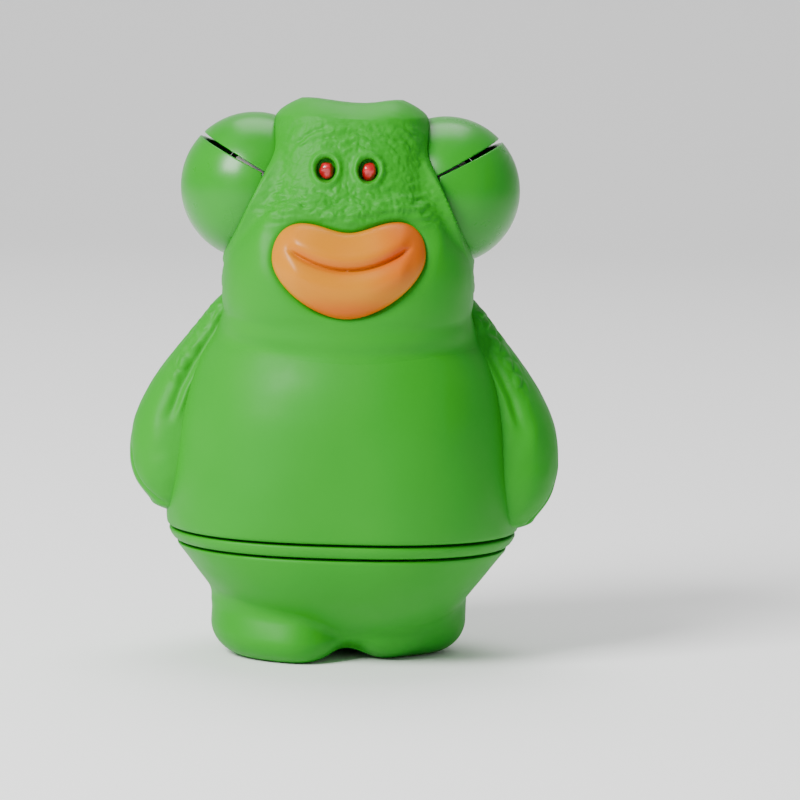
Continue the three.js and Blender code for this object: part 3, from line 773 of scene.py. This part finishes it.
def half_space(normal, offset, reach):
    """A block filling the side of a plane that its normal points to."""
    normal = np.asarray(normal, dtype=float)
    normal = normal / np.linalg.norm(normal)
    third = np.cross(normal, [0.0, 1.0, 0.0])
    side = np.cross(third, normal)
    start = normal * offset
    corners = []
    for along in (0, 2 * reach):
        for a, b in ((-1, -1), (1, -1), (1, 1), (-1, 1)):
            corners.append(start + normal * along + side * a * 2 * reach + third * b * 2 * reach)
    faces = [(0, 1, 2, 3), (7, 6, 5, 4), (0, 4, 5, 1), (1, 5, 6, 2), (2, 6, 7, 3), (3, 7, 4, 0)]
    block = new_object("half_space", corners, faces, smooth=False)
    bpy.context.view_layer.update()
    volume = signed_volume(block.data)
    if volume < 0:
        block.data.flip_normals()
    return block


def signed_volume(mesh):
    total = 0.0
    for face in mesh.polygons:
        points = [mesh.vertices[i].co for i in face.vertices]
        for k in range(1, len(points) - 1):
            total += points[0].dot(points[k].cross(points[k + 1]))
    return total


def wedge_mesh(start, end, reach=14.0):
    corners = [(0, 0)]
    for angle in np.linspace(start, end, 5):
        corners.append((reach * math.cos(angle), reach * math.sin(angle)))
    rings = np.array([[(x, y, z) for x, z in corners] for y in (reach, -reach)])
    return ring_mesh("wedge", rings)


def rod_mesh(radius, start, end, centre=(0, 0, 0), direction=(0, 1, 0), sides=48):
    direction = Vector(direction).normalized()
    side = direction.orthogonal().normalized()
    third = direction.cross(side)
    rings = []
    for along in (start, end):
        rings.append([Vector(centre) + direction * along
                      + side * radius * math.cos(a) + third * radius * math.sin(a) for a in angles(sides)])
    return ring_mesh("rod", np.array([[tuple(p) for p in ring] for ring in rings]))


def lower_lid_solid(name):
    lid = lid_solid(name, upper=False)
    cut(lid, [wedge_mesh(math.radians(118), LOWER_END + 2 * math.pi)])
    hub_outer, hub_inner = lid_balls("hub")
    cut(hub_outer, [hub_inner])
    cut(hub_outer, [rod_mesh(2.0, -12, 12)], "INTERSECT")
    cut(lid, [hub_outer], "UNION")
    back = -GAZE
    low = np.array([back[0], 0, back[2]])
    for degrees in (6, 22, 38):
        cut(lid, [rod_mesh(2.6, LID_RADIUS - 2, LID_RADIUS + 1, direction=turned(low, degrees))])
    return lid


def turned(direction, degrees):
    angle = math.atan2(direction[2], direction[0]) + math.radians(degrees)
    return (math.cos(angle), 0, math.sin(angle))


def make_lid(side, name, upper):
    """Rounds the lid's edges by a fine remesh, then draws its faces back onto true spheres."""
    lid = lid_solid(name, upper=True) if upper else lower_lid_solid(name)
    remesh = lid.modifiers.new("remesh", "REMESH")
    remesh.mode = "VOXEL"
    remesh.voxel_size = 0.16 * MM
    remesh.use_smooth_shade = True
    smooth = lid.modifiers.new("smooth", "SMOOTH")
    smooth.factor = 0.5
    smooth.iterations = 4
    apply_modifiers(lid)
    verts = np.array([v.co[:] for v in lid.data.vertices]) / MM
    radius = np.linalg.norm(verts, axis=1)
    for target in (LID_RADIUS, LID_RADIUS - LID_WALL):
        pull = smooth_step(0.2, 0.1, np.abs(radius - target))
        verts *= (1 + pull * (target / radius - 1))[:, None]
        radius = np.linalg.norm(verts, axis=1)
    verts = verts * [side, 1, 1] + EYE * [side, 1, 1]
    lid.data.vertices.foreach_set("co", (verts * MM).astype(np.float32).ravel())
    if side < 0:
        lid.data.flip_normals()
    lid.data.update()
    return lid


def gaze_frame(side):
    forward = Vector((GAZE[0] * side, 0, GAZE[2]))
    across = Vector((0, 1, 0))
    return forward, across, forward.cross(across)


def spun_about_gaze(name, side, outline, around=72):
    """A solid spun about the line of sight from (distance, radius) pairs, first and last on the axis."""
    forward, across, up = gaze_frame(side)
    centre = Vector(EYE * [side, 1, 1])
    rings = []
    for distance, radius in outline:
        middle = centre + forward * distance
        rings.append([tuple(middle + across * radius * math.cos(a) + up * radius * math.sin(a))
                      for a in angles(around)])
    obj = ring_mesh(name, np.array(rings))
    if signed_volume(obj.data) < 0:
        obj.data.flip_normals()
    return obj


def make_eyeball(side, name):
    """The white ball, with a shallow seat for the pupil and a flat on its back for the bellows."""
    seat = 0.46
    outline = []
    for angle in np.linspace(math.radians(158), math.radians(31), 60):
        outline.append((EYEBALL_RADIUS * math.cos(angle), EYEBALL_RADIUS * math.sin(angle)))
    for angle, depth in ((29.5, 0.03), (28.5, 0.12), (27.5, 0.3), (26.5, seat)):
        distance = EYEBALL_RADIUS - depth
        outline.append((distance * math.cos(math.radians(angle)), distance * math.sin(math.radians(angle))))
    floor = (EYEBALL_RADIUS - seat) * math.cos(math.radians(26))
    outline.append((floor, 1.0))
    outline.append((floor, 0.05))
    return spun_about_gaze(name, side, outline)


def make_pupil(side, name):
    """A black glossy cap that rounds over its edge."""
    outline = []
    top = EYEBALL_RADIUS + 0.05
    for angle in np.linspace(0.5, 23, 22):
        outline.append((top * math.cos(math.radians(angle)), top * math.sin(math.radians(angle))))
    for angle, depth in ((24.2, 0.04), (25.0, 0.14), (25.3, 0.3)):
        distance = top - depth
        outline.append((distance * math.cos(math.radians(angle)), distance * math.sin(math.radians(angle))))
    floor = (EYEBALL_RADIUS - 0.4) * math.cos(math.radians(25.3))
    outline.append((floor, 1.7))
    outline.append((floor, 0.05))
    return spun_about_gaze(name, side, outline[::-1])


def make_bellows(side, name):
    """A corrugated rubber tube from the back of the eyeball into the head."""
    front, back, folds = -EYEBALL_RADIUS - 0.05, -LID_RADIUS - 0.8, 5
    outline = [(front, 0.6)]
    count = folds * 12
    for i in range(count + 1):
        t = i / count
        outline.append((front + (back - front) * t, 1.12 + 0.2 * math.cos(2 * math.pi * folds * t)))
    outline.append((back, 0.6))
    return spun_about_gaze(name, side, outline, 48)


# ---- Materials -----------------------------------------------------------------------------------


def srgb(red, green, blue):
    def linear(v):
        v /= 255
        return v / 12.92 if v <= 0.04045 else ((v + 0.055) / 1.055) ** 2.4
    return (linear(red), linear(green), linear(blue), 1.0)


class Material:
    """A Principled material with the few node patterns used here."""

    def __init__(self, name, color, roughness):
        self.material = bpy.data.materials.new(name)
        self.material.use_nodes = True
        self.nodes = self.material.node_tree.nodes
        self.links = self.material.node_tree.links
        self.shader = self.nodes["Principled BSDF"]
        self.shader.inputs["Base Color"].default_value = color
        self.shader.inputs["Roughness"].default_value = roughness
        self.coordinates = self.nodes.new("ShaderNodeTexCoord").outputs["Object"]
        self.last_normal = None

    def set(self, **values):
        for name, value in values.items():
            self.shader.inputs[name.replace("_", " ")].default_value = value
        return self

    def noise(self, size_mm, detail=3.0, stretch=(1, 1, 1)):
        mapping = self.nodes.new("ShaderNodeMapping")
        mapping.inputs["Scale"].default_value = stretch
        self.links.new(self.coordinates, mapping.inputs["Vector"])
        texture = self.nodes.new("ShaderNodeTexNoise")
        texture.inputs["Scale"].default_value = 1000 / size_mm
        texture.inputs["Detail"].default_value = detail
        self.links.new(mapping.outputs["Vector"], texture.inputs["Vector"])
        return texture.outputs["Fac"]

    def ramp(self, value, low, high, start, end):
        node = self.nodes.new("ShaderNodeMapRange")
        node.inputs["From Min"].default_value = low
        node.inputs["From Max"].default_value = high
        node.inputs["To Min"].default_value = start
        node.inputs["To Max"].default_value = end
        self.links.new(value, node.inputs["Value"])
        return node.outputs["Result"]

    def mix(self, factor, first, second):
        node = self.nodes.new("ShaderNodeMix")
        node.data_type = "RGBA"
        self.links.new(factor, node.inputs["Factor"])
        for socket, color in ((node.inputs["A"], first), (node.inputs["B"], second)):
            if isinstance(color, tuple):
                socket.default_value = color
            else:
                self.links.new(color, socket)
        return node.outputs["Result"]

    def color(self, output):
        self.links.new(output, self.shader.inputs["Base Color"])
        return self

    def roughness(self, output):
        self.links.new(output, self.shader.inputs["Roughness"])
        return self

    def bump(self, value, height_mm, strength=1.0):
        node = self.nodes.new("ShaderNodeBump")
        node.inputs["Distance"].default_value = height_mm * MM
        node.inputs["Strength"].default_value = strength
        self.links.new(value, node.inputs["Height"])
        if self.last_normal is not None:
            self.links.new(self.last_normal, node.inputs["Normal"])
        self.last_normal = node.outputs["Normal"]
        self.links.new(self.last_normal, self.shader.inputs["Normal"])
        return self

    def attribute(self, name):
        node = self.nodes.new("ShaderNodeAttribute")
        node.attribute_name = name
        return node.outputs["Fac"]


def green_vinyl():
    m = Material("green_vinyl", (0.013, 0.25, 0.006, 1), 0.5)
    cloud = m.ramp(m.noise(22, 2.0), 0.3, 0.7, 0.0, 1.0)
    m.color(m.mix(cloud, (0.011, 0.235, 0.005, 1), (0.016, 0.27, 0.008, 1)))
    m.roughness(m.ramp(m.noise(5, 3.0), 0.3, 0.7, 0.46, 0.58))
    m.bump(m.noise(0.35, 2.0), 0.02, 0.35)
    m.bump(m.noise(2.5, 3.0), 0.05, 0.2)
    m.set(Specular_IOR_Level=0.22)
    return m.material


def green_gloss():
    m = Material("green_gloss", (0.011, 0.24, 0.006, 1), 0.3)
    cloud = m.ramp(m.noise(9, 2.0), 0.3, 0.7, 0.0, 1.0)
    m.color(m.mix(cloud, (0.009, 0.22, 0.005, 1), (0.013, 0.255, 0.007, 1)))
    m.roughness(m.ramp(m.noise(3, 3.0), 0.3, 0.7, 0.26, 0.36))
    m.bump(m.noise(1.8, 2.0), 0.012, 0.25)
    m.set(Specular_IOR_Level=0.32)
    return m.material


def orange_paint():
    m = Material("orange_paint", (0.5, 0.175, 0.0, 1), 0.34)
    # The deep attribute is painted shade: it mixes in a darker red-orange along the mouth line, low down
    # and on the right side.
    deep = m.attribute("deep")
    mottled = m.mix(m.ramp(m.noise(6, 2.0), 0.3, 0.7, 0.0, 1.0), (0.5, 0.18, 0.0, 1), (0.5, 0.165, 0.0, 1))
    m.color(m.mix(deep, mottled, (0.5, 0.07, 0.0, 1)))
    m.roughness(m.ramp(m.noise(2.5, 3.0), 0.3, 0.7, 0.3, 0.42))
    m.bump(m.noise(0.9, 3.0, (0.35, 1, 1)), 0.03, 0.3)
    m.set(Specular_IOR_Level=0.2)
    return m.material


def red_gloss():
    m = Material("red_gloss", (0.62, 0.004, 0.02, 1), 0.25)
    patches = m.ramp(m.noise(0.9, 2.0), 0.4, 0.65, 0.0, 1.0)
    m.color(m.mix(patches, (0.32, 0.001, 0.004, 1), (0.55, 0.006, 0.02, 1)))
    m.bump(m.noise(0.8, 2.0), 0.06, 0.5)
    m.set(Coat_Weight=0.25, Coat_Roughness=0.1)
    return m.material


def eye_white():
    m = Material("eye_white", srgb(240, 240, 234), 0.18)
    m.color(m.mix(m.ramp(m.noise(4, 2.0), 0.3, 0.7, 0.0, 1.0), srgb(236, 236, 228), srgb(246, 246, 241)))
    m.bump(m.noise(1.5, 2.0), 0.01, 0.15)
    m.set(Coat_Weight=0.5, Coat_Roughness=0.06, Subsurface_Weight=0.1, Subsurface_Scale=0.0008)
    return m.material


def pupil_black():
    m = Material("pupil_black", srgb(16, 16, 18), 0.12)
    m.roughness(m.ramp(m.noise(1.2, 2.0), 0.3, 0.7, 0.08, 0.16))
    m.bump(m.noise(1.2, 2.0), 0.008, 0.15)
    m.set(Coat_Weight=0.6, Coat_Roughness=0.04)
    return m.material


def moulded(name, color, roughness):
    m = Material(name, color, roughness)
    m.roughness(m.ramp(m.noise(1.5, 3.0), 0.3, 0.7, roughness - 0.06, roughness + 0.06))
    m.bump(m.noise(0.5, 2.0), 0.02, 0.3)
    return m.material


def steel():
    m = Material("steel", srgb(196, 200, 204), 0.28)
    m.roughness(m.ramp(m.noise(0.6, 3.0, (1, 0.1, 1)), 0.3, 0.7, 0.2, 0.36))
    m.set(Metallic=1.0)
    return m.material


def dress(obj, material):
    obj.data.materials.clear()
    obj.data.materials.append(material)


def stand_for(obj, material, node, body):
    dress(obj, material)
    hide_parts(node)
    if body:
        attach(obj, body)
    return obj


# ---- Assembly ------------------------------------------------------------------------------------

vinyl = green_vinyl()
gloss = green_gloss()

stand_for(make_head(), vinyl, "head_skin", "frog")
torso = stand_for(make_torso(), vinyl, "torso_skin", None)
stand_for(make_arm(-1, "left_arm", 1.6, 1.1, 2.0), vinyl, "arm_left", "frog")
stand_for(make_arm(1, "right_arm", -0.4, 0.0, 9.0), vinyl, "arm_right", "frog")
stand_for(make_band(), vinyl, "waist_band", "frog")
stand_for(make_legs(), vinyl, "leg_skin", "frog")
stand_for(make_lips(), orange_paint(), "lips", "frog")
red = red_gloss()
stand_for(make_nostril(-1, "nostril_bead_left"), red, "nostril_left", "frog")
stand_for(make_nostril(1, "nostril_bead_right"), red, "nostril_right", "frog")

white, black = eye_white(), pupil_black()
rubber = moulded("black_rubber", srgb(52, 52, 54), 0.6)
for side, word in ((-1, "left"), (1, "right")):
    top_lid = make_lid(side, f"top_lid_{word}", True)
    stand_for(top_lid, gloss, f"upper_lid_{word}", f"upper_{word}")
    bottom_lid = make_lid(side, f"bottom_lid_{word}", False)
    stand_for(bottom_lid, gloss, f"lower_lid_{word}", f"lower_{word}")
    stand_for(make_eyeball(side, f"ball_{word}"), white, f"eyeball_{word}", f"eye_{word}")
    stand_for(make_pupil(side, f"black_{word}"), black, f"pupil_{word}", f"eye_{word}")
    bellows = make_bellows(side, f"bellows_{word}")
    stand_for(bellows, rubber, f"eye_bellows_{word}", None)
    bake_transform(bellows)

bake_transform(torso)

# The inner parts are real, and their dark grey is painted shade: it keeps the slit between the lids dark.
slit_shade_grey = moulded("inner_plastic", srgb(62, 66, 62), 0.5)
metal = steel()
for name, node in frame["nodes"].items():
    if name.startswith("lid_pin"):
        dress(node, metal)
    elif name.startswith(("eye_cup", "lid_yoke", "air_manifold")):
        dress(node, slit_shade_grey)
    elif name.startswith(("air_bulb", "belly_pad")):
        dress(node, rubber)
    elif name == "base_plug":
        dress(node, vinyl)


# ---- Stage, light and camera ---------------------------------------------------------------------


def make_stage():
    """A pale floor that curves up behind the frog."""
    half, back, bend = 1500, 700, 500
    profile = [(-1500, 0.0), (back, 0.0)]
    for angle in np.linspace(0, math.pi / 2, 25)[1:]:
        profile.append((back + bend * math.sin(angle), bend * (1 - math.cos(angle))))
    profile.append((back + bend, 2200))
    verts = [(x, y, z) for y, z in profile for x in (-half, half)]
    faces = [(2 * i, 2 * i + 1, 2 * i + 3, 2 * i + 2) for i in range(len(profile) - 1)]
    floor = new_object("floor", verts, faces)
    m = Material("floor", (0.93, 0.93, 0.93, 1), 0.7)
    dress(floor, m.material)


def add_light(name, place, aim, size, power):
    light = bpy.data.lights.new(name, "AREA")
    light.shape = "RECTANGLE"
    light.size, light.size_y = size
    light.energy = power
    obj = bpy.data.objects.new(name, light)
    obj.location = place
    direction = Vector(aim) - Vector(place)
    obj.rotation_euler = direction.to_track_quat("-Z", "Y").to_euler()
    bpy.context.scene.collection.objects.link(obj)


def make_lights():
    world = bpy.data.worlds.new("world")
    world.use_nodes = True
    world.node_tree.nodes["Background"].inputs["Color"].default_value = (1, 1, 1, 1)
    world.node_tree.nodes["Background"].inputs["Strength"].default_value = 0.42
    bpy.context.scene.world = world
    aim = (0, 0, 0.035)
    add_light("key", (-0.40, -0.42, 0.46), aim, (0.30, 0.30), 10.0)
    add_light("top", (0.0, 0.35, 0.9), aim, (0.6, 0.6), 6.0)


def make_camera():
    """A camera just above the frog's head that looks slightly down and leans slightly."""
    distance, height, aim_height = 0.52, 0.089, 0.037
    roll = math.radians(1.4)
    aim = Vector((0, 0, aim_height))
    place = Vector((0, -distance, height))
    data = bpy.data.cameras.new("camera")
    data.sensor_width = 36
    data.lens = 186.5
    data.shift_x = 0.0672
    data.shift_y = -0.0490
    data.clip_start = 0.01
    camera = bpy.data.objects.new("camera", data)
    bpy.context.scene.collection.objects.link(camera)
    camera.location = place
    camera.rotation_euler = (aim - place).to_track_quat("-Z", "Y").to_euler()
    camera.rotation_euler.rotate_axis("Z", roll)
    bpy.context.scene.camera = camera


make_stage()
make_lights()
make_camera()
